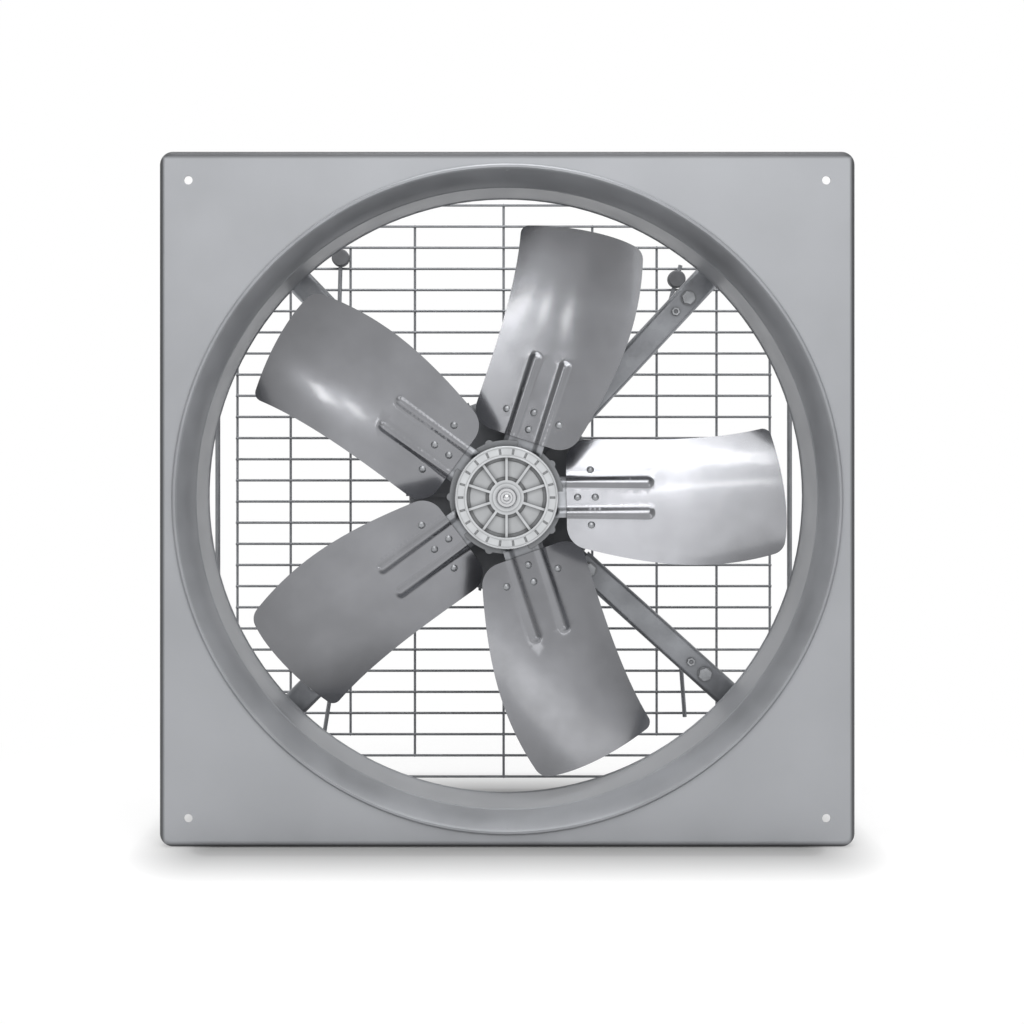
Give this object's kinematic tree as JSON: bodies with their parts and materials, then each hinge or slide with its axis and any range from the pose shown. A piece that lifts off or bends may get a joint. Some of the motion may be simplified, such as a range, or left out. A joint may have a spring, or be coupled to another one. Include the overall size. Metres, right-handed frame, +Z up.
{
  "type": "exhaust fan",
  "caption": "Square-panel industrial exhaust fan: bell-mouth inlet ring, riveted pitched blades on a cast hub, a motor held on channel struts and a wire guard at the rear.",
  "frame": {"origin": "centre of the four wall bolt holes, on the panel's front face, on the fan's axis", "axes": "+X to the right seen from the inlet side, +Y along the fan's axis from inlet to outlet, +Z up"},
  "size_m": [0.735, 0.2753, 0.735],
  "materials": {
    "panel_paint": "satin silver-grey paint on pressed sheet steel",
    "ring_paint": "satin silver-grey paint on spun sheet steel",
    "strut_steel": "zinc-coated folded sheet steel",
    "guard_steel": "grey coated drawn wire",
    "motor_paint": "dark grey satin paint on cast metal",
    "zinc_fastener": "zinc-plated steel",
    "core_steel": "stacked electrical steel sheets",
    "copper_winding": "varnished copper wire",
    "bearing_steel": "ground bearing steel",
    "black_plastic": "moulded black plastic",
    "capacitor_can": "drawn aluminium can",
    "buffer_rubber": "moulded dark grey rubber",
    "hub_cast": "cast aluminium, satin",
    "shaft_steel": "turned bright steel",
    "rivet_aluminium": "set aluminium rivets",
    "blade_sheet": "pressed sheet, satin silver-grey",
    "arm_steel": "silver-grey paint on pressed steel"
  },
  "bodies": {
    "frame": {"bell_screws": "zinc_fastener", "cable_gland": "black_plastic", "front_bearing_balls": "bearing_steel", "front_bearing_outer": "bearing_steel", "guard_buffers": "buffer_rubber", "guard_frame": "guard_steel", "guard_leg_nuts": "zinc_fastener", "guard_legs": "guard_steel", "guard_wires": "guard_steel", "inlet_ring": "ring_paint", "motor_body": "motor_paint", "motor_ear_bolts": "zinc_fastener", "motor_ear_nuts": "zinc_fastener", "motor_front_bell": "motor_paint", "motor_rear_bell": "motor_paint", "panel": "panel_paint", "rear_bearing_balls": "bearing_steel", "rear_bearing_outer": "bearing_steel", "run_capacitor": "capacitor_can", "stator_core": "core_steel", "stator_windings": "copper_winding", "strut_arm_lower_left": "strut_steel", "strut_arm_lower_right": "strut_steel", "strut_arm_upper_left": "strut_steel", "strut_arm_upper_right": "strut_steel", "strut_bolts": "zinc_fastener", "strut_leg_lower_left": "strut_steel", "strut_leg_lower_right": "strut_steel", "strut_leg_upper_left": "strut_steel", "strut_leg_upper_right": "strut_steel", "strut_nuts": "zinc_fastener", "terminal_box": "motor_paint", "terminal_lid": "motor_paint", "terminal_screws": "zinc_fastener"},
    "rotor": {"blade_1": "blade_sheet", "blade_2": "blade_sheet", "blade_3": "blade_sheet", "blade_4": "blade_sheet", "blade_5": "blade_sheet", "blade_arm_1": "arm_steel", "blade_arm_2": "arm_steel", "blade_arm_3": "arm_steel", "blade_arm_4": "arm_steel", "blade_arm_5": "arm_steel", "blade_rivets": "rivet_aluminium", "front_bearing_inner": "bearing_steel", "hub_front_disc": "hub_cast", "hub_rear_disc": "hub_cast", "hub_screws": "zinc_fastener", "rear_bearing_inner": "bearing_steel", "rotor_core": "core_steel", "shaft": "shaft_steel", "shaft_key": "shaft_steel", "shaft_screw": "shaft_steel", "shaft_washer": "shaft_steel"}
  },
  "joints": [
    {"name": "rotor_spin", "type": "hinge", "parent": "frame", "child": "rotor", "pos_m": [0, 0.07, 0], "axis": [0, 1, 0], "continuous": true}
  ]
}
